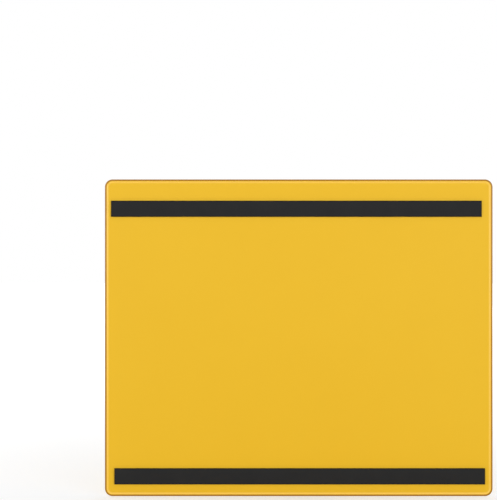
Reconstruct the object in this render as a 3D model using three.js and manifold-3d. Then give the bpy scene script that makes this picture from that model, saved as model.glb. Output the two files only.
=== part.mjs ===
// Magnetic document pocket. A coloured vinyl back sheet and a clear vinyl window are welded
// together round three sides, and two magnetic strips are stuck across the back.
// Millimetres, +Z up. The mouth is at the top, the window faces -Y and the magnets face +Y.
// The origin is on the outer face of the upper magnetic strip, half way up the strip and
// half way across the pocket.

import * as THREE from 'three';
import { mergeVertices } from 'three/addons/utils/BufferGeometryUtils.js';
import Module from 'manifold-3d';

const wasm = await Module();
wasm.setup();

// The two vinyl sheets
const POCKET_WIDTH = 306;
const POCKET_HEIGHT = 250;
const CORNER_RADIUS = 6;
const SHEET_THICKNESS = 0.5;
const FILM_THICKNESS = 0.3;

// The weld that joins them, a rounded bead that stands proud on both faces
const WELD_WIDTH = 2.8;
const BEAD_RISE = 0.35;
const BEAD_CREST = 1.1;

// The mouth of the pocket, with a round notch for the thumb and a hot-cut lip
const MOUTH_DROP = 24;
const MOUTH_GAPE = 6.5;
const NOTCH_DEPTH = 18;
const NOTCH_RADIUS = 71.5;
const LIP_WIDTH = 0.9;
const LIP_RISE = 0.25;
const BEAD_BREAK = 0.3;

// The magnetic strips and the tape that holds them
const STRIP_LENGTH = 292.3;
const STRIP_WIDTH = 12.7;
const STRIP_THICKNESS = 1.3;
const STRIP_EDGE_ROUND = 0.2;
const TAPE_THICKNESS = 0.2;
const TAPE_INSET = 0.3;
const UPPER_STRIP_MARGIN = 16.8;
const LOWER_STRIP_MARGIN = 9.4;
const UPPER_STRIP_SHIFT = 1.9;
const LOWER_STRIP_SHIFT = -0.7;

// How far a cutting shape runs past what it cuts
const CUT_PAST = 2;

// How finely curves are divided
const CORNER_STEPS = 6;
const BEAD_STEPS = 4;
const NOTCH_STEPS = 24;
const FILM_COLUMNS = 24;
const FILM_ROWS = 16;

// Heights and depths that follow from the sizes above
const TOP_Z = UPPER_STRIP_MARGIN + STRIP_WIDTH / 2;
const BOTTOM_Z = TOP_Z - POCKET_HEIGHT;
const MOUTH_Z = TOP_Z - MOUTH_DROP;
const LOWER_STRIP_Z = BOTTOM_Z + LOWER_STRIP_MARGIN + STRIP_WIDTH / 2;
const BACK_Y = -(STRIP_THICKNESS + TAPE_THICKNESS);
const SEAM_Y = BACK_Y - SHEET_THICKNESS;
const FILM_Y = SEAM_Y - FILM_THICKNESS;
const SIDE_X = POCKET_WIDTH / 2;

// Turning triangles into solids and back

function solidFrom(positions, triangles) {
  const vertProperties = new Float32Array(positions.flat());
  const triVerts = new Uint32Array(triangles.flat());
  return new wasm.Manifold(new wasm.Mesh({ numProp: 3, vertProperties, triVerts }));
}

function solidFromGeometry(geometry) {
  geometry.deleteAttribute('normal');
  geometry.deleteAttribute('uv');
  const merged = mergeVertices(geometry);
  const vertProperties = new Float32Array(merged.attributes.position.array);
  const triVerts = new Uint32Array(merged.index.array);
  return new wasm.Manifold(new wasm.Mesh({ numProp: 3, vertProperties, triVerts }));
}

function geometryFrom(solid) {
  const mesh = solid.getMesh();
  const geometry = new THREE.BufferGeometry();
  geometry.setAttribute('position', new THREE.BufferAttribute(mesh.vertProperties, 3));
  geometry.setIndex(new THREE.BufferAttribute(mesh.triVerts, 1));
  geometry.computeVertexNormals();
  return geometry;
}

// The pocket's rounded outline, drawn in from the edge and seen from the front

function outlineLoop(inset) {
  const radius = CORNER_RADIUS - inset;
  const across = SIDE_X - CORNER_RADIUS;
  const low = BOTTOM_Z + CORNER_RADIUS;
  const high = TOP_Z - CORNER_RADIUS;
  const centres = [[across, high], [-across, high], [-across, low], [across, low]];
  const loop = [];
  centres.forEach(([x, z], corner) => {
    for (let step = 0; step <= CORNER_STEPS; step += 1) {
      const angle = (Math.PI / 2) * (corner + step / CORNER_STEPS);
      loop.push([x + radius * Math.cos(angle), z + radius * Math.sin(angle)]);
    }
  });
  return loop;
}

// Two neighbouring loops of the same number of points, joined by a band of triangles

function bandBetween(first, second, count) {
  const band = [];
  for (let point = 0; point < count; point += 1) {
    const next = (point + 1) % count;
    band.push([first + point, second + point, second + next]);
    band.push([first + point, second + next, first + next]);
  }
  return band;
}

// A section of [inset, y] stations carried round the outline, from its front to its back.
// A plate is filled to the middle at both ends, and a rim closes on itself.

function carriedRound(section, filled) {
  const loops = section.map(([inset, y]) => outlineLoop(inset).map(([x, z]) => [x, y, z]));
  const count = loops[0].length;
  const last = (loops.length - 1) * count;
  const triangles = [];
  for (let row = 0; row < loops.length - 1; row += 1) {
    triangles.push(...bandBetween(row * count, (row + 1) * count, count));
  }
  if (filled) {
    for (let point = 1; point < count - 1; point += 1) {
      triangles.push([0, point, point + 1]);
      triangles.push([last, last + point + 1, last + point]);
    }
  } else {
    triangles.push(...bandBetween(last, 0, count));
  }
  return solidFrom(loops.flat(), triangles);
}

// Stations over one face of the weld bead. It swells smoothly out of the sheet from its
// inner foot to its crest, and rounds over steeply to the torn edge.

function beadStations(y, rise) {
  const stations = [];
  for (let step = 0; step <= BEAD_STEPS; step += 1) {
    const part = step / BEAD_STEPS;
    const inset = WELD_WIDTH - (WELD_WIDTH - BEAD_CREST) * part;
    stations.push([inset, y + (rise * (1 - Math.cos(Math.PI * part))) / 2]);
  }
  for (let step = 1; step <= BEAD_STEPS; step += 1) {
    const angle = ((Math.PI / 2) * step) / BEAD_STEPS;
    stations.push([BEAD_CREST * (1 - Math.sin(angle)), y + rise * Math.cos(angle)]);
  }
  return stations;
}

// Even stations from one value to another

function stationsBetween(low, high, count) {
  return Array.from({ length: count + 1 }, (_, step) => low + ((high - low) * step) / count);
}

// A flat shape in X and Z given its depth along Y

function plateFrom(shape, frontY, backY) {
  const geometry = new THREE.ExtrudeGeometry(shape, { depth: backY - frontY, bevelEnabled: false });
  geometry.rotateX(Math.PI / 2);
  geometry.translate(0, backY, 0);
  return solidFromGeometry(geometry);
}

// The window's outline, with its free edge and the notch moved in by an inset

function windowShape(inset) {
  const edgeZ = MOUTH_Z - inset;
  const notchZ = MOUTH_Z - NOTCH_DEPTH + NOTCH_RADIUS;
  const radius = NOTCH_RADIUS + inset;
  const reach = Math.acos((notchZ - edgeZ) / radius);
  const lowerCorners = outlineLoop(0).slice(2 * (CORNER_STEPS + 1));
  const notch = stationsBetween(reach, -reach, NOTCH_STEPS).map((angle) => [
    radius * Math.sin(angle),
    notchZ - radius * Math.cos(angle),
  ]);
  const outline = [[-SIDE_X, edgeZ], ...lowerCorners, [SIDE_X, edgeZ], ...notch];
  return new THREE.Shape(outline.map(([x, z]) => new THREE.Vector2(x, z)));
}

// How far the relaxed window bows out from the back sheet: nothing at the three welds, and
// most in the middle of the mouth

function windowBow(x, z) {
  const foot = BOTTOM_Z + WELD_WIDTH;
  const across = Math.min(Math.abs(x) / (SIDE_X - WELD_WIDTH), 1);
  const up = Math.min(Math.max((z - foot) / (MOUTH_Z - foot), 0), 1);
  return MOUTH_GAPE * (1 - across ** 3) * (1 - (1 - up) ** 3);
}

// A layer of the window's film between two depths in front of the seam, which follows the
// bow and runs past the mouth so that the window's outline can be cut from it

function bowedLayer(nearDepth, farDepth) {
  const overrun = MOUTH_Z + CUT_PAST;
  const inner = SIDE_X - WELD_WIDTH;
  const xs = [-SIDE_X, ...stationsBetween(-inner, inner, FILM_COLUMNS), SIDE_X];
  const zs = [BOTTOM_Z, ...stationsBetween(BOTTOM_Z + WELD_WIDTH, MOUTH_Z, FILM_ROWS), overrun];
  const face = (depth) => zs.flatMap((z) => xs.map((x) => [x, SEAM_Y - windowBow(x, z) - depth, z]));
  const positions = [...face(farDepth), ...face(nearDepth)];
  const wide = xs.length;
  const size = wide * zs.length;
  const triangles = [];
  for (let row = 0; row < zs.length - 1; row += 1) {
    for (let column = 0; column < wide - 1; column += 1) {
      const a = row * wide + column;
      const b = a + 1;
      const c = b + wide;
      const d = a + wide;
      triangles.push([a, b, c], [a, c, d]);
      triangles.push([size + a, size + c, size + b], [size + a, size + d, size + c]);
    }
  }
  const rim = [];
  for (let column = 0; column < wide - 1; column += 1) rim.push(column);
  for (let row = 0; row < zs.length - 1; row += 1) rim.push(row * wide + wide - 1);
  for (let column = wide - 1; column > 0; column -= 1) rim.push(size - wide + column);
  for (let row = zs.length - 1; row > 0; row -= 1) rim.push(row * wide);
  rim.forEach((from, index) => {
    const to = rim[(index + 1) % rim.length];
    triangles.push([from, size + from, size + to], [from, size + to, to]);
  });
  return solidFrom(positions, triangles);
}

// The back sheet: one flat piece with the bead round its whole edge. Below the mouth its
// front is cut flat, because there the window carries the front half of the bead.

function backSheet() {
  const sheet = carriedRound(
    [...beadStations(SEAM_Y, -BEAD_RISE), ...beadStations(BACK_Y, BEAD_RISE).reverse()],
    true,
  );
  const seatTop = MOUTH_Z + BEAD_BREAK;
  const seatHeight = seatTop - BOTTOM_Z + CUT_PAST;
  const seat = new THREE.BoxGeometry(POCKET_WIDTH + CUT_PAST, CUT_PAST, seatHeight);
  seat.translate(0, SEAM_Y - CUT_PAST / 2, seatTop - seatHeight / 2);
  return geometryFrom(sheet.subtract(solidFromGeometry(seat)));
}

// The window: a thin bowed film with the front half of the bead round three sides and a
// raised lip along its free edge and the thumb notch

function frontWindow() {
  const deepest = FILM_Y - MOUTH_GAPE - CUT_PAST;
  const outline = plateFrom(windowShape(0), deepest, SEAM_Y);
  const insideLip = plateFrom(windowShape(LIP_WIDTH), deepest, SEAM_Y);
  const film = bowedLayer(0, FILM_THICKNESS);
  const lip = bowedLayer(FILM_THICKNESS / 2, FILM_THICKNESS + LIP_RISE).subtract(insideLip);
  const bead = carriedRound(
    [...beadStations(FILM_Y, -BEAD_RISE), [0, SEAM_Y], [WELD_WIDTH, SEAM_Y]],
    false,
  );
  return geometryFrom(film.add(lip).add(bead).intersect(outline));
}

// A magnetic strip, extruded along X with its outer face at y = 0 and softened long edges

function magnetStrip() {
  const half = STRIP_WIDTH / 2;
  const shape = new THREE.Shape([
    new THREE.Vector2(-half, STRIP_EDGE_ROUND - STRIP_THICKNESS),
    new THREE.Vector2(STRIP_EDGE_ROUND - half, -STRIP_THICKNESS),
    new THREE.Vector2(half - STRIP_EDGE_ROUND, -STRIP_THICKNESS),
    new THREE.Vector2(half, STRIP_EDGE_ROUND - STRIP_THICKNESS),
    new THREE.Vector2(half, -STRIP_EDGE_ROUND),
    new THREE.Vector2(half - STRIP_EDGE_ROUND, 0),
    new THREE.Vector2(STRIP_EDGE_ROUND - half, 0),
    new THREE.Vector2(-half, -STRIP_EDGE_ROUND),
  ]);
  const geometry = new THREE.ExtrudeGeometry(shape, { depth: STRIP_LENGTH, bevelEnabled: false });
  geometry.translate(0, 0, -STRIP_LENGTH / 2);
  geometry.rotateY(Math.PI / 2);
  return geometry;
}

// The adhesive tape under a strip, a little smaller than the strip all round

function adhesiveTape() {
  const length = STRIP_LENGTH - 2 * TAPE_INSET;
  const width = STRIP_WIDTH - 2 * TAPE_INSET;
  const geometry = new THREE.BoxGeometry(length, TAPE_THICKNESS, width);
  geometry.translate(0, -STRIP_THICKNESS - TAPE_THICKNESS / 2, 0);
  return geometry;
}

// Materials

const yellowVinyl = { color: 0xeebe33, roughness: 0.42, metalness: 0 };
const clearVinyl = { color: 0xf6efd2, roughness: 0.12, metalness: 0, transparent: true, opacity: 0.35 };
const magneticRubber = { color: 0x2e2e2e, roughness: 0.8, metalness: 0 };
const paleAdhesive = { color: 0xd9d6cc, roughness: 0.6, metalness: 0 };

function piece(name, geometry, finish) {
  const mesh = new THREE.Mesh(geometry, new THREE.MeshStandardMaterial(finish));
  mesh.name = name;
  return mesh;
}

// The pocket put together

const pocket = new THREE.Group();
pocket.add(piece('back_sheet', backSheet(), yellowVinyl));
pocket.add(piece('front_window', frontWindow(), clearVinyl));

const strips = [
  { place: 'upper', shift: UPPER_STRIP_SHIFT, height: 0 },
  { place: 'lower', shift: LOWER_STRIP_SHIFT, height: LOWER_STRIP_Z },
];
strips.forEach(({ place, shift, height }) => {
  const strip = new THREE.Group();
  strip.add(piece(`${place}_magnet_strip`, magnetStrip(), magneticRubber));
  strip.add(piece(`${place}_adhesive_tape`, adhesiveTape(), paleAdhesive));
  strip.position.set(shift, 0, height);
  pocket.add(strip);
});

export default pocket;
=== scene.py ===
import math

import bmesh
import bpy
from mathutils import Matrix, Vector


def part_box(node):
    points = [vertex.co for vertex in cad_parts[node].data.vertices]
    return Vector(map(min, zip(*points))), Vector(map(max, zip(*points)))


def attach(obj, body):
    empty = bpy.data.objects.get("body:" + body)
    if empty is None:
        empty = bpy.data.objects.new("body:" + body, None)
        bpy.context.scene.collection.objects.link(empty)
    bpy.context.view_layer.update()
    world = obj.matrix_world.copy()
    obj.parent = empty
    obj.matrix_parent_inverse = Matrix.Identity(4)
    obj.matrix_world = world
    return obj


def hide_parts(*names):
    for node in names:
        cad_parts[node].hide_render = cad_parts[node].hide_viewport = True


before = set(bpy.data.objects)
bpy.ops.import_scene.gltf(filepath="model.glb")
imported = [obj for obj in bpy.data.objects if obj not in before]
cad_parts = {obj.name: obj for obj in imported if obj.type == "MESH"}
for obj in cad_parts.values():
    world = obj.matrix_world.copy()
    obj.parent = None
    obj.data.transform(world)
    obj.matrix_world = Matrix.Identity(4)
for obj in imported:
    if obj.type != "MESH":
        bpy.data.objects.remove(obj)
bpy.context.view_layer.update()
bpy.ops.object.select_all(action="DESELECT")

# The view. The lens is square on to the back of the pocket, where the magnets are, and
# the pocket has the place and size in the frame that it has in the picture.

PICTURE_WIDTH = 497
PICTURE_HEIGHT = 500
POCKET_LEFT = 104.9
POCKET_RIGHT = 492.6
POCKET_TOP = 179.4
POCKET_BOTTOM = 496.2
FOCAL_LENGTH = 100
SENSOR = 36
SIGHT_LIMIT = 20

sheet_low, sheet_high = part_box("back_sheet")
middle = (sheet_low + sheet_high) / 2
half_width = (sheet_high.x - sheet_low.x) / 2
half_height = (sheet_high.z - sheet_low.z) / 2
pixel = 2 * half_width / (POCKET_RIGHT - POCKET_LEFT)
away = pixel * PICTURE_HEIGHT * FOCAL_LENGTH / SENSOR
across = ((POCKET_LEFT + POCKET_RIGHT) / 2 - PICTURE_WIDTH / 2) * pixel
up = ((POCKET_TOP + POCKET_BOTTOM) / 2 - PICTURE_HEIGHT / 2) * pixel
bpy.ops.object.camera_add(
    location=(middle.x + across, sheet_high.y + away, middle.z + up),
    rotation=(math.pi / 2, 0, math.pi),
)
view = bpy.context.object
view.name = "view"
view.data.lens = FOCAL_LENGTH
view.data.sensor_width = SENSOR
view.data.clip_end = SIGHT_LIMIT
bpy.context.scene.camera = view
bpy.context.scene.view_settings.view_transform = "Standard"

# The back sheet. It is one sheet of coloured soft vinyl, die-cut with round corners. The
# weld squeezes a rounded bead out round its whole edge, on both faces, apart from the
# front below the mouth, where the bead belongs to the clear window.

MM = 0.001
CORNER_RADIUS = 6 * MM
CORNER_STEPS = 24
WELD_WIDTH = 2.8 * MM
BEAD_CREST = 1.1 * MM
BEAD_RISE = 0.35 * MM
BEAD_STEPS = 8
BEAD_BREAK = 0.3 * MM
FLAT_MARGIN = 0.4 * MM
NOTCH_DEPTH = 18 * MM
NOTCH_RADIUS = 71.5 * MM
CUT_PAST = 2 * MM
MERGE_REACH = 0.001 * MM
SQUARE_ON = 0.9
SHEET_SMOOTHING = math.radians(50)

window_low, window_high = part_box("front_window")
back_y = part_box("upper_adhesive_tape")[0].y
seam_y = window_high.y
mouth_z = window_high.z
notch_z = mouth_z - NOTCH_DEPTH + NOTCH_RADIUS


def sheet_panel(name, inset, y):
    """The pocket's outline with its round corners, drawn in by an inset, facing the front."""
    bpy.ops.mesh.primitive_plane_add(size=2, rotation=(math.pi / 2, 0, 0))
    panel = bpy.context.object
    panel.name = name
    panel.scale = (half_width - inset, half_height - inset, 1)
    panel.location = (middle.x, y, middle.z)
    bpy.ops.object.transform_apply(location=True, rotation=True, scale=True)
    bpy.ops.object.mode_set(mode="EDIT")
    bpy.ops.mesh.select_mode(type="VERT")
    bpy.ops.mesh.select_all(action="SELECT")
    bpy.ops.mesh.bevel(
        offset_type="ABSOLUTE",
        offset=CORNER_RADIUS - inset,
        segments=CORNER_STEPS,
        profile=0.5,
        affect="VERTICES",
    )
    bpy.ops.object.mode_set(mode="OBJECT")
    return panel


def thicken(panel, depth):
    """Pulls a flat panel out along Y into a closed slab."""
    bpy.ops.object.mode_set(mode="EDIT")
    bpy.ops.mesh.select_all(action="SELECT")
    bpy.ops.mesh.extrude_region_move(TRANSFORM_OT_translate={"value": (0, depth, 0)})
    bpy.ops.mesh.select_all(action="SELECT")
    bpy.ops.mesh.normals_make_consistent(inside=False)
    bpy.ops.object.mode_set(mode="OBJECT")


def raise_bead(panel, facing):
    """Works the weld bead into the edge of the flat face that faces +Y or -Y."""
    stations = [(0.0, 0.0)]
    for step in range(1, BEAD_STEPS + 1):
        angle = math.pi / 2 * step / BEAD_STEPS
        stations.append((BEAD_CREST * (1 - math.cos(angle)), BEAD_RISE * math.sin(angle)))
    for step in range(1, BEAD_STEPS + 1):
        part = step / BEAD_STEPS
        inset = BEAD_CREST + (WELD_WIDTH - BEAD_CREST) * part
        stations.append((inset, BEAD_RISE * (1 + math.cos(math.pi * part)) / 2))
    stations.append((WELD_WIDTH + FLAT_MARGIN, 0.0))
    bpy.ops.object.mode_set(mode="EDIT")
    bpy.ops.mesh.select_mode(type="FACE")
    bpy.ops.mesh.select_all(action="DESELECT")
    shape = bmesh.from_edit_mesh(panel.data)
    for face in shape.faces:
        face.select_set(face.normal.y * facing > SQUARE_ON)
    bmesh.update_edit_mesh(panel.data)
    for (inset, rise), (next_inset, next_rise) in zip(stations, stations[1:]):
        inward = next_inset - inset
        outward = next_rise - rise
        bpy.ops.mesh.inset(thickness=inward, depth=outward, use_even_offset=True)
    bpy.ops.object.mode_set(mode="OBJECT")


def pick_only(piece):
    bpy.ops.object.select_all(action="DESELECT")
    bpy.context.view_layer.objects.active = piece
    piece.select_set(True)


def mend(piece):
    """Merges doubled points, closes small holes, drops loose edges, turns faces outward."""
    pick_only(piece)
    bpy.ops.object.mode_set(mode="EDIT")
    bpy.ops.mesh.select_mode(type="VERT")
    bpy.ops.mesh.select_all(action="SELECT")
    bpy.ops.mesh.remove_doubles(threshold=MERGE_REACH)
    bpy.ops.mesh.fill_holes(sides=4)
    bpy.ops.mesh.delete_loose()
    bpy.ops.mesh.select_all(action="SELECT")
    bpy.ops.mesh.normals_make_consistent(inside=False)
    bpy.ops.object.mode_set(mode="OBJECT")


def combine(piece, tool, operation):
    """Cuts a piece with a tool, or joins the tool to it, and puts the tool away."""
    pick_only(piece)
    bpy.ops.object.modifier_add(type="BOOLEAN")
    boolean = piece.modifiers[-1]
    boolean.object = tool
    boolean.operation = operation
    boolean.solver = "EXACT"
    bpy.ops.object.modifier_apply(modifier=boolean.name)
    bpy.data.objects.remove(tool)
    mend(piece)


def smooth(piece, angle):
    pick_only(piece)
    bpy.ops.object.shade_smooth_by_angle(angle=angle)


def block(name, low, high):
    """A plain block between two corners, to cut with or to shape."""
    bpy.ops.mesh.primitive_cube_add(size=1)
    made = bpy.context.object
    made.name = name
    made.scale = [b - a for a, b in zip(low, high)]
    made.location = [(a + b) / 2 for a, b in zip(low, high)]
    bpy.ops.object.transform_apply(location=True, rotation=True, scale=True)
    return made


vinyl_back = sheet_panel("vinyl_back", 0, seam_y)
thicken(vinyl_back, back_y - seam_y)
raise_bead(vinyl_back, 1)
raise_bead(vinyl_back, -1)
window_seat = block(
    "window_seat",
    (sheet_low.x - CUT_PAST, seam_y - CUT_PAST, sheet_low.z - CUT_PAST),
    (sheet_high.x + CUT_PAST, seam_y, mouth_z + BEAD_BREAK),
)
combine(vinyl_back, window_seat, "DIFFERENCE")
smooth(vinyl_back, SHEET_SMOOTHING)


class Value:
    """A socket's value. Plain arithmetic on it adds Math nodes to its own shader."""

    def __init__(self, finish, socket):
        self.finish = finish
        self.socket = socket

    def step(self, operation, *others, clamp=False):
        inputs = dict(enumerate((self, *others)))
        return self.finish.node("ShaderNodeMath", inputs, operation=operation, use_clamp=clamp)

    def __add__(self, other):
        return self.step("ADD", other)

    def __sub__(self, other):
        return self.step("SUBTRACT", other)

    def __rsub__(self, other):
        return self.finish.node("ShaderNodeMath", {0: other, 1: self}, operation="SUBTRACT")

    def __mul__(self, other):
        return self.step("MULTIPLY", other)

    def __truediv__(self, other):
        return self.step("DIVIDE", other)

    def __abs__(self):
        return self.step("ABSOLUTE")

    __radd__ = __add__
    __rmul__ = __mul__

    def clamped(self):
        return self.step("ADD", 0, clamp=True)

    def under(self, limit, fade):
        """1 where the value is under a limit, 0 where it is over, with a soft change."""
        return ((limit - self) / fade + 0.5).clamped()


class Finish:
    """The nodes of one material, or of the world."""

    def __init__(self, owner):
        self.owner = owner
        owner.use_nodes = True
        self.tree = owner.node_tree
        self.tree.nodes.clear()

    def node(self, kind, inputs=None, output=0, **settings):
        made = self.tree.nodes.new(kind)
        for name, setting in settings.items():
            setattr(made, name, setting)
        for name, value in (inputs or {}).items():
            if isinstance(value, Value):
                self.tree.links.new(value.socket, made.inputs[name])
            else:
                made.inputs[name].default_value = value
        return Value(self, made.outputs[output]) if made.outputs else None

    def place(self, centre=(0, 0, 0), stretch=(1, 1, 1)):
        """Object coordinates, measured from a centre and stretched along the axes."""
        own = self.node("ShaderNodeTexCoord", output="Object")
        inputs = {"Vector": own, "Location": centre, "Scale": stretch}
        return self.node("ShaderNodeMapping", inputs, vector_type="TEXTURE")

    def axes(self, place, names):
        return [self.node("ShaderNodeSeparateXYZ", {0: place}, output=name) for name in names]

    def noise(self, place, pattern):
        return self.node("ShaderNodeTexNoise", {"Vector": place, **pattern})

    def blend(self, factor, first, second):
        inputs = {0: factor, 6: first, 7: second}
        return self.node("ShaderNodeMix", inputs, output=2, data_type="RGBA")

    def bump(self, height, relief, under=None):
        """Relief worked by a height, over any relief that is already there."""
        inputs = {"Height": height, **relief}
        if under is not None:
            inputs["Normal"] = under
        return self.node("ShaderNodeBump", inputs)

    def mix(self, factor, first, second):
        return self.node("ShaderNodeMixShader", {0: factor, 1: first, 2: second})

    def surface(self, shader, end="ShaderNodeOutputMaterial"):
        """Ends the shader, and gives back the material or the world that it is on."""
        self.node(end, {"Surface": shader})
        return self.owner


def shade(red, green, blue):
    """A colour given in 0 to 255 steps, as the linear numbers that a shader takes."""
    steps = (red / 255, green / 255, blue / 255)
    linear = [s / 12.92 if s <= 0.04045 else ((s + 0.055) / 1.055) ** 2.4 for s in steps]
    return (*linear, 1.0)


def dress(piece, material):
    piece.data.materials.clear()
    piece.data.materials.append(material)


VINYL_YELLOW = shade(232, 184, 28)
VINYL_DEEP = shade(230, 181, 24)
# Painted light on the front face: a painted sheen where the sheet is bare, and under the window
# a colour painted brighter and deeper to offset the film's shade and sheen.
VINYL_BARE_SHEEN = shade(232, 187, 45)
VINYL_UNDER_FILM_LIFTED = shade(237, 189, 12)
# Painted shade for the dark line along the bead's outer slope, all round the edge.
VINYL_EDGE_SHADE = shade(168, 116, 10)
# Painted highlight for the light that the bead's crest catches.
VINYL_CREST_HIGHLIGHT = shade(250, 203, 84)
VINYL_CLOUD = {"Scale": 14.0, "Detail": 3.0}
VINYL_GRAIN = {"Scale": 1400.0, "Detail": 2.0}
VINYL_RIPPLE = {"Scale": 22.0, "Detail": 1.0}
RIPPLE_RELIEF = {"Distance": 0.6 * MM, "Strength": 0.5}
GRAIN_RELIEF = {"Distance": 0.02 * MM, "Strength": 0.2}
VINYL_IOR = 1.5
VINYL_GLOSS = 0.22
VINYL_ROUGHNESS = 0.4
GRAIN_ROUGHENS = 0.12
WELD_POLISHES = 0.18
EDGE_SHADE_WIDTH = 1.3 * MM
CREST_HIGHLIGHT_PLACE = 2.1 * MM
CREST_HIGHLIGHT_WIDTH = 1.2 * MM
EDGE_FADE = 0.3 * MM
BACK_WELD_FADE = 0.5 * MM


def edge_distance(finish, place):
    """How far inside the pocket's rounded outline a point lies, in metres."""
    side, height = finish.axes(place, "XZ")
    past_x = abs(side) - (half_width - CORNER_RADIUS)
    past_z = abs(height) - (half_height - CORNER_RADIUS)
    out_x = past_x.step("MAXIMUM", 0)
    out_z = past_z.step("MAXIMUM", 0)
    outside = (out_x * out_x + out_z * out_z).step("SQRT")
    inside = past_x.step("MAXIMUM", past_z).step("MINIMUM", 0)
    return CORNER_RADIUS - (outside + inside)


def painted_bead_light_and_weld(finish, place, fade):
    """Where the edge is painted dark, where the bead is painted pale, and where the weld is. The
    dark band is painted shade on the bead's outer slope; the pale band is a painted highlight on
    its crest.
    """
    inset = edge_distance(finish, place)
    edge_shade = inset.under(EDGE_SHADE_WIDTH, EDGE_FADE)
    crest_highlight = (1 - abs(inset - CREST_HIGHLIGHT_PLACE) / CREST_HIGHLIGHT_WIDTH).clamped()
    return edge_shade, crest_highlight, inset.under(WELD_WIDTH, fade)


def front_colour_with_painted_light(finish, side, height):
    """Painted light on the front face: where no window lies over the sheet, above the mouth and
    in the thumb notch, it is painted paler as a sheen; under the window it is painted brighter
    and deeper, to offset the shade and sheen the film lays on it.
    """
    over_notch = height - (notch_z - middle.z)
    from_notch = (side * side + over_notch * over_notch).step("SQRT")
    over_mouth = 1 - height.under(mouth_z - middle.z, EDGE_FADE)
    bare = from_notch.under(NOTCH_RADIUS, EDGE_FADE).step("MAXIMUM", over_mouth)
    return finish.blend(bare, VINYL_UNDER_FILM_LIFTED, VINYL_BARE_SHEEN)


def yellow_vinyl():
    """Satin vinyl, faintly clouded and rippled, with a glossier weld along its edge, a painted
    highlight along the bead's crest and painted shade along its outer slope.
    """
    finish = Finish(bpy.data.materials.new("yellow_vinyl"))
    place = finish.place(tuple(middle))
    side, depth, height = finish.axes(place, "XYZ")
    edge_shade, crest_highlight, weld = painted_bead_light_and_weld(finish, place, BACK_WELD_FADE)
    grain = finish.noise(place, VINYL_GRAIN)
    colour = finish.blend(finish.noise(place, VINYL_CLOUD), VINYL_YELLOW, VINYL_DEEP)
    # Painted light: the front face takes a painted sheen where bare and a painted offset of the
    # film's shade and sheen under the window.
    colour = finish.blend(depth.step("LESS_THAN", 0), colour, front_colour_with_painted_light(finish, side, height))
    # Painted highlight: a pale band along the bead's crest, all round the edge.
    colour = finish.blend(crest_highlight, colour, VINYL_CREST_HIGHLIGHT)
    # Painted shade: the bead's outer slope is painted dark all round the edge.
    colour = finish.blend(edge_shade, colour, VINYL_EDGE_SHADE)
    ripple = finish.bump(finish.noise(place, VINYL_RIPPLE), RIPPLE_RELIEF)
    body = {
        "Base Color": colour,
        "Roughness": VINYL_ROUGHNESS + grain * GRAIN_ROUGHENS - weld * WELD_POLISHES,
        "IOR": VINYL_IOR,
        "Specular IOR Level": VINYL_GLOSS,
        "Normal": finish.bump(grain, GRAIN_RELIEF, ripple),
    }
    return finish.surface(finish.node("ShaderNodeBsdfPrincipled", body))


dress(vinyl_back, yellow_vinyl())
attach(vinyl_back, "root")
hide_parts("back_sheet")

# The window. It is thin clear vinyl film, welded to the back sheet down both sides and
# along the bottom. Its free top edge, with the thumb notch, is cut hot, which leaves a
# fine rounded lip along it, and it bows out a little when the pocket is empty.

MOUTH_GAPE = 6.5 * MM
BOW_FULLNESS = 3
FILM_THICKNESS = 0.3 * MM
FILM_LIFT = 0.02 * MM
FILM_COLUMNS = 132
FILM_ROWS = 96
FILM_SMOOTHING = math.radians(40)
NOTCH_STEPS = 512
PUNCH_LENGTH = 40 * MM
LIP_WIDTH = 0.9 * MM
LIP_RISE = 0.25 * MM
LIP_STEPS = 30
LIP_SECTION_STEPS = 4
LIP_SMOOTHING = math.radians(60)

film_y = seam_y - FILM_THICKNESS
lip_centre = (FILM_THICKNESS + LIP_RISE) / 2


def window_bow(x, z):
    """How far the film stands off the back sheet: most in the middle of the mouth."""
    foot = sheet_low.z + WELD_WIDTH
    aside = min(abs(x) / (half_width - WELD_WIDTH), 1)
    upward = min(max((z - foot) / (mouth_z - foot), 0), 1)
    return MOUTH_GAPE * (1 - aside**BOW_FULLNESS) * (1 - (1 - upward) ** BOW_FULLNESS)


bpy.ops.mesh.primitive_grid_add(
    x_subdivisions=FILM_COLUMNS, y_subdivisions=FILM_ROWS, size=1, rotation=(math.pi / 2, 0, 0)
)
clear_window = bpy.context.object
clear_window.name = "clear_window"
clear_window.scale = (2 * half_width, mouth_z + CUT_PAST - sheet_low.z, 1)
clear_window.location = (middle.x, seam_y, (mouth_z + CUT_PAST + sheet_low.z) / 2)
bpy.ops.object.transform_apply(location=True, rotation=True, scale=True)
for vertex in clear_window.data.vertices:
    vertex.co.y -= window_bow(vertex.co.x, vertex.co.z) + FILM_LIFT
bpy.ops.object.modifier_add(type="SOLIDIFY")
wall = clear_window.modifiers[-1]
wall.thickness = FILM_THICKNESS
wall.offset = 1
bpy.ops.object.modifier_apply(modifier=wall.name)

outline_punch = sheet_panel("outline_punch", BEAD_CREST, seam_y + CUT_PAST)
thicken(outline_punch, -MOUTH_GAPE - 3 * CUT_PAST)
combine(clear_window, outline_punch, "INTERSECT")

bead = sheet_panel("bead", 0, seam_y)
thicken(bead, film_y - seam_y)
raise_bead(bead, -1)
core = sheet_panel("core", WELD_WIDTH, seam_y + CUT_PAST)
thicken(core, -3 * CUT_PAST)
combine(bead, core, "DIFFERENCE")
combine(clear_window, bead, "UNION")

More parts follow.
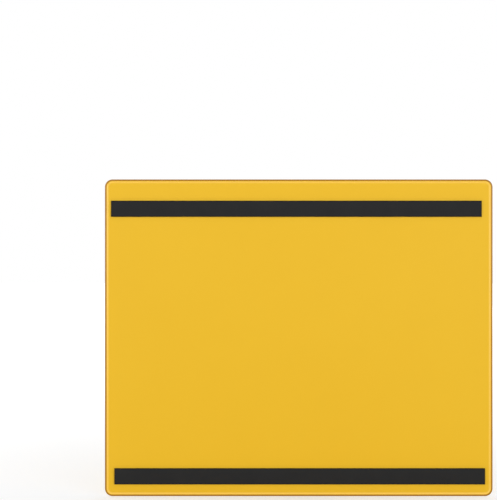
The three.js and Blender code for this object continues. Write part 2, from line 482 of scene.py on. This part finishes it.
over_mouth = block(
    "over_mouth",
    (sheet_low.x - CUT_PAST, window_low.y - CUT_PAST, mouth_z),
    (sheet_high.x + CUT_PAST, seam_y + CUT_PAST, sheet_high.z + CUT_PAST),
)
combine(clear_window, over_mouth, "DIFFERENCE")
bpy.ops.mesh.primitive_cylinder_add(
    vertices=NOTCH_STEPS,
    radius=NOTCH_RADIUS,
    depth=PUNCH_LENGTH,
    location=(middle.x, seam_y, notch_z),
    rotation=(math.pi / 2, 0, 0),
)
thumb_punch = bpy.context.object
bpy.ops.object.transform_apply(location=True, rotation=True, scale=True)
combine(clear_window, thumb_punch, "DIFFERENCE")
smooth(clear_window, FILM_SMOOTHING)


def mouth_path():
    """Points along the free edge, from one side weld round the notch to the other."""
    reach = math.acos((NOTCH_RADIUS - NOTCH_DEPTH) / NOTCH_RADIUS)
    notch_half = NOTCH_RADIUS * math.sin(reach)
    end = half_width - BEAD_CREST
    parts = [k / LIP_STEPS for k in range(LIP_STEPS + 1)]
    left = [(-end + (end - notch_half) * part, mouth_z) for part in parts[:-1]]
    turns = [reach * (2 * part - 1) for part in parts]
    arc = [(NOTCH_RADIUS * math.sin(t), notch_z - NOTCH_RADIUS * math.cos(t)) for t in turns]
    right = [(-x, z) for x, z in reversed(left)]
    return left + arc + right


bpy.ops.curve.primitive_bezier_circle_add(radius=1)
lip_section = bpy.context.object
lip_section.scale = (lip_centre, LIP_WIDTH / 2, 1)
bpy.ops.object.transform_apply(location=True, rotation=True, scale=True)
lip_section.data.resolution_u = LIP_SECTION_STEPS
bpy.ops.curve.primitive_nurbs_path_add()
mouth_lip = bpy.context.object
mouth_lip.name = "mouth_lip"
lip_curve = mouth_lip.data
lip_curve.twist_mode = "Z_UP"
run = lip_curve.splines[0]
run.type = "POLY"
points = mouth_path()
run.points.add(len(points) - len(run.points))
for spot, (x, z) in zip(run.points, points):
    spot.co = (x, seam_y - window_bow(x, z) - lip_centre - FILM_LIFT, z - LIP_WIDTH / 2, 1)
lip_curve.bevel_mode = "OBJECT"
lip_curve.bevel_object = lip_section
lip_curve.use_fill_caps = True
bpy.ops.object.convert(target="MESH")
bpy.data.objects.remove(lip_section)
mend(mouth_lip)
smooth(mouth_lip, LIP_SMOOTHING)

FILM_TINT = (0.998, 0.997, 0.99, 1)
FILM_SHINE = (0.96, 0.96, 0.95, 1)
SHINE_HEAD_ON = 0.007
SHINE_POWER = 5
EVEN_FACING = 0.5
FILM_RIPPLE = {"Scale": 16.0, "Detail": 1.5}
FILM_RELIEF = {"Distance": 0.8 * MM, "Strength": 0.6}
FILM_ROUGHNESS = 0.18
WELD_ROUGHENS = 0.04
FILM_WELD_FADE = 0.4 * MM
# Painted highlight for the front bead's crest, in the window's weld.
WELD_CREST_HIGHLIGHT = shade(255, 222, 112)
WELD_CLOUDING = 0.9
# Partly real frosting of the lip, partly a painted highlight for the light its cut edge catches.
LIP_HIGHLIGHT_PALE = shade(255, 234, 140)
LIP_HIGHLIGHT_WARM = shade(255, 228, 124)
LIP_CLOUD = {"Scale": 180.0, "Detail": 2.0}
LIP_CLOUD_ROUGHENS = 0.1
LIP_CLOUDING = 0.88


def clear_vinyl():
    """See-through head on, a mirror at a glancing angle, and clouded yellow in the weld, with a
    painted highlight on the bead's crest and painted shade on its outer slope.
    """
    finish = Finish(bpy.data.materials.new("clear_vinyl"))
    place = finish.place(tuple(middle))
    edge_shade, crest_highlight, weld = painted_bead_light_and_weld(finish, place, FILM_WELD_FADE)
    relief = finish.bump(finish.noise(place, FILM_RIPPLE), FILM_RELIEF)
    layer = {"Blend": EVEN_FACING, "Normal": relief}
    facing = finish.node("ShaderNodeLayerWeight", layer, output="Facing")
    shine = SHINE_HEAD_ON + (1 - SHINE_HEAD_ON) * facing.step("POWER", SHINE_POWER)
    colour = finish.blend(weld, FILM_SHINE, VINYL_YELLOW)
    # Painted highlight: the front bead's crest is painted pale.
    colour = finish.blend(crest_highlight, colour, WELD_CREST_HIGHLIGHT)
    # Painted shade: the front bead's outer slope is painted dark, as on the back sheet.
    colour = finish.blend(edge_shade, colour, VINYL_EDGE_SHADE)
    body = {
        "Base Color": colour,
        "Metallic": 1 - weld,
        "Roughness": FILM_ROUGHNESS + weld * WELD_ROUGHENS,
        "IOR": VINYL_IOR,
        "Normal": relief,
    }
    sight = finish.node("ShaderNodeBsdfTransparent", {"Color": FILM_TINT})
    gloss = finish.node("ShaderNodeBsdfPrincipled", body)
    return finish.surface(finish.mix(shine.step("MAXIMUM", weld * WELD_CLOUDING), sight, gloss))


def lip_vinyl():
    """The window's vinyl where heat has gathered it into a lip: pale and nearly opaque. The pale
    colour is partly the lip's real frosting and partly a painted highlight for the light line
    its cut edge catches.
    """
    finish = Finish(bpy.data.materials.new("lip_vinyl"))
    cloud = finish.noise(finish.place(tuple(middle)), LIP_CLOUD)
    body = {
        "Base Color": finish.blend(cloud, LIP_HIGHLIGHT_PALE, LIP_HIGHLIGHT_WARM),
        "Roughness": FILM_ROUGHNESS + cloud * LIP_CLOUD_ROUGHENS,
        "IOR": VINYL_IOR,
    }
    sight = finish.node("ShaderNodeBsdfTransparent", {"Color": FILM_TINT})
    gloss = finish.node("ShaderNodeBsdfPrincipled", body)
    return finish.surface(finish.mix(LIP_CLOUDING, sight, gloss))


dress(clear_window, clear_vinyl())
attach(clear_window, "root")
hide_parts("front_window")
dress(mouth_lip, lip_vinyl())
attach(mouth_lip, "root")

# The magnetic strips. Each is a length of flexible magnetic tape, ferrite powder bound in
# dark rubber, extruded with soft long edges, cut square at the ends and stuck on.

STRIP_EDGE_ROUND = 0.25 * MM
STRIP_EDGE_STEPS = 5
STRIP_SMOOTHING = math.radians(40)
RUBBER_DARK = shade(32, 32, 33)
RUBBER_LIGHT = shade(38, 38, 38)
# Painted shade along the strip's edges and ends.
RUBBER_RIM_SHADE = shade(16, 13, 4)
RIM_SHADE_WIDTH = 0.9 * MM
RIM_SHADE_STRENGTH = 0.8
DRAWN_STRETCH = (12, 1, 1)
RUBBER_CLOUD = {"Scale": 60.0, "Detail": 2.0}
RUBBER_LINES = {"Scale": 900.0, "Detail": 2.0}
RUBBER_POWDER = {"Scale": 1800.0, "Detail": 3.0}
LINES_RELIEF = {"Distance": 0.03 * MM, "Strength": 0.6}
POWDER_RELIEF = {"Distance": 0.02 * MM, "Strength": 0.5}
RUBBER_GLOSS = 0.13
RUBBER_ROUGHNESS = 0.62
POWDER_ROUGHENS = 0.2


def magnetic_rubber(low, high):
    """Dark powdery rubber with fine lines along the strip, and painted shade in a darker rim
    where its edges fall away from the light.
    """
    finish = Finish(bpy.data.materials.new("magnetic_rubber"))
    centre = tuple((low + high) / 2)
    place = finish.place(centre)
    side, height = finish.axes(place, "XZ")
    from_end = (high.x - low.x) / 2 - abs(side)
    from_edge = (high.z - low.z) / 2 - abs(height)
    # Painted shade: a darker band along every edge and end of the strip.
    rim_shade = (1 - from_end.step("MINIMUM", from_edge) / RIM_SHADE_WIDTH).clamped()
    powder = finish.noise(place, RUBBER_POWDER)
    colour = finish.blend(finish.noise(place, RUBBER_CLOUD), RUBBER_DARK, RUBBER_LIGHT)
    drawn = finish.noise(finish.place(centre, DRAWN_STRETCH), RUBBER_LINES)
    body = {
        "Base Color": finish.blend(rim_shade * RIM_SHADE_STRENGTH, colour, RUBBER_RIM_SHADE),
        "Roughness": RUBBER_ROUGHNESS + powder * POWDER_ROUGHENS,
        "Specular IOR Level": RUBBER_GLOSS,
        "Normal": finish.bump(powder, POWDER_RELIEF, finish.bump(drawn, LINES_RELIEF)),
    }
    return finish.surface(finish.node("ShaderNodeBsdfPrincipled", body))


for level in ("upper", "lower"):
    low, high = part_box(f"{level}_magnet_strip")
    strip = block(f"{level}_magnet", tuple(low), tuple(high))
    bpy.ops.object.mode_set(mode="EDIT")
    bpy.ops.mesh.select_mode(type="EDGE")
    bpy.ops.mesh.select_all(action="DESELECT")
    shape = bmesh.from_edit_mesh(strip.data)
    for edge in shape.edges:
        reach = edge.verts[0].co - edge.verts[1].co
        edge.select_set(abs(reach.x) > (high.x - low.x) / 2)
    bmesh.update_edit_mesh(strip.data)
    bpy.ops.mesh.bevel(
        offset=STRIP_EDGE_ROUND, segments=STRIP_EDGE_STEPS, profile=0.5, affect="EDGES"
    )
    bpy.ops.object.mode_set(mode="OBJECT")
    smooth(strip, STRIP_SMOOTHING)
    dress(strip, magnetic_rubber(low, high))
    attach(strip, "root")
    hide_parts(f"{level}_magnet_strip")

# The adhesive tape. It is a thin pale acrylic tape that fixes each strip to the back
# sheet. It is a little narrower than the strip, so only its edge can be seen.

TAPE_PALE = shade(214, 208, 190)
TAPE_DULL = shade(196, 188, 166)
TAPE_CLOUD = {"Scale": 300.0, "Detail": 2.0}
TAPE_ROUGHNESS = 0.5
TAPE_CLOUD_ROUGHENS = 0.2


def pale_tape():
    finish = Finish(bpy.data.materials.new("pale_tape"))
    cloud = finish.noise(finish.place(), TAPE_CLOUD)
    body = {
        "Base Color": finish.blend(cloud, TAPE_PALE, TAPE_DULL),
        "Roughness": TAPE_ROUGHNESS + cloud * TAPE_CLOUD_ROUGHENS,
    }
    return finish.surface(finish.node("ShaderNodeBsdfPrincipled", body))


tape_finish = pale_tape()
for level in ("upper", "lower"):
    dress(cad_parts[f"{level}_adhesive_tape"], tape_finish)

# The studio. A pale plain floor lies just under the pocket's bottom edge and brightens
# with distance into the white room, so no horizon shows. Four soft boxes light both
# faces evenly. The room lights the pocket less brightly than it looks.

FLOOR_SIZE = 14
FLOOR_GAP = 0.05 * MM
FLOOR_PALE = (0.9, 0.9, 0.9, 1)
FLOOR_GLOW = 1.4
GLOW_SHARE = 0.35
GLOW_SHARE_RISE = 0.4
GLOW_SHARE_MOST = 0.8
GLOW_SHARE_MIRRORED = 0.4
BOX_SIZE = 2.0
BOX_POWER = 58
BOX_ASIDE = 1.56
BOX_AWAY = 3.2
BOX_HEIGHT = 0.1
ROOM_WHITE = (1, 1, 1, 1)
ROOM_LIGHT = 0.48
ROOM_MIRRORED = 0.75
ROOM_SEEN = 1.0

bpy.ops.mesh.primitive_plane_add(size=FLOOR_SIZE, location=(0, 0, sheet_low.z - FLOOR_GAP))
floor = bpy.context.object
floor.name = "floor"
pale = Finish(bpy.data.materials.new("pale_floor"))
matte = pale.node("ShaderNodeBsdfDiffuse", {"Color": FLOOR_PALE})
glow = pale.node("ShaderNodeEmission", {"Strength": FLOOR_GLOW})
from_pocket = pale.node(
    "ShaderNodeVectorMath", {0: pale.place()}, output="Value", operation="LENGTH"
)
share = (GLOW_SHARE + from_pocket * GLOW_SHARE_RISE).step("MINIMUM", GLOW_SHARE_MOST)
looked_at = pale.node("ShaderNodeLightPath", output="Is Camera Ray")
mirrored = pale.node("ShaderNodeLightPath", output="Is Glossy Ray")
shown = looked_at.step("MAXIMUM", mirrored * GLOW_SHARE_MIRRORED) * share
dress(floor, pale.surface(pale.mix(shown, matte, glow)))

for front in (-1, 1):
    for side in (-1, 1):
        spot = (side * BOX_ASIDE, front * BOX_AWAY, BOX_HEIGHT)
        bpy.ops.object.light_add(type="AREA", location=spot)
        lamp = bpy.context.object
        lamp.data.size = BOX_SIZE
        lamp.data.energy = BOX_POWER
        lamp.rotation_euler = (middle - lamp.location).to_track_quat("-Z", "Y").to_euler()

room = Finish(bpy.data.worlds.new("room"))
lit, in_mirror, seen = [
    room.node("ShaderNodeBackground", {"Color": ROOM_WHITE, "Strength": strength})
    for strength in (ROOM_LIGHT, ROOM_MIRRORED, ROOM_SEEN)
]
mirrored = room.node("ShaderNodeLightPath", output="Is Glossy Ray")
looked_at = room.node("ShaderNodeLightPath", output="Is Camera Ray")
around = room.mix(looked_at, room.mix(mirrored, lit, in_mirror), seen)
bpy.context.scene.world = room.surface(around, "ShaderNodeOutputWorld")
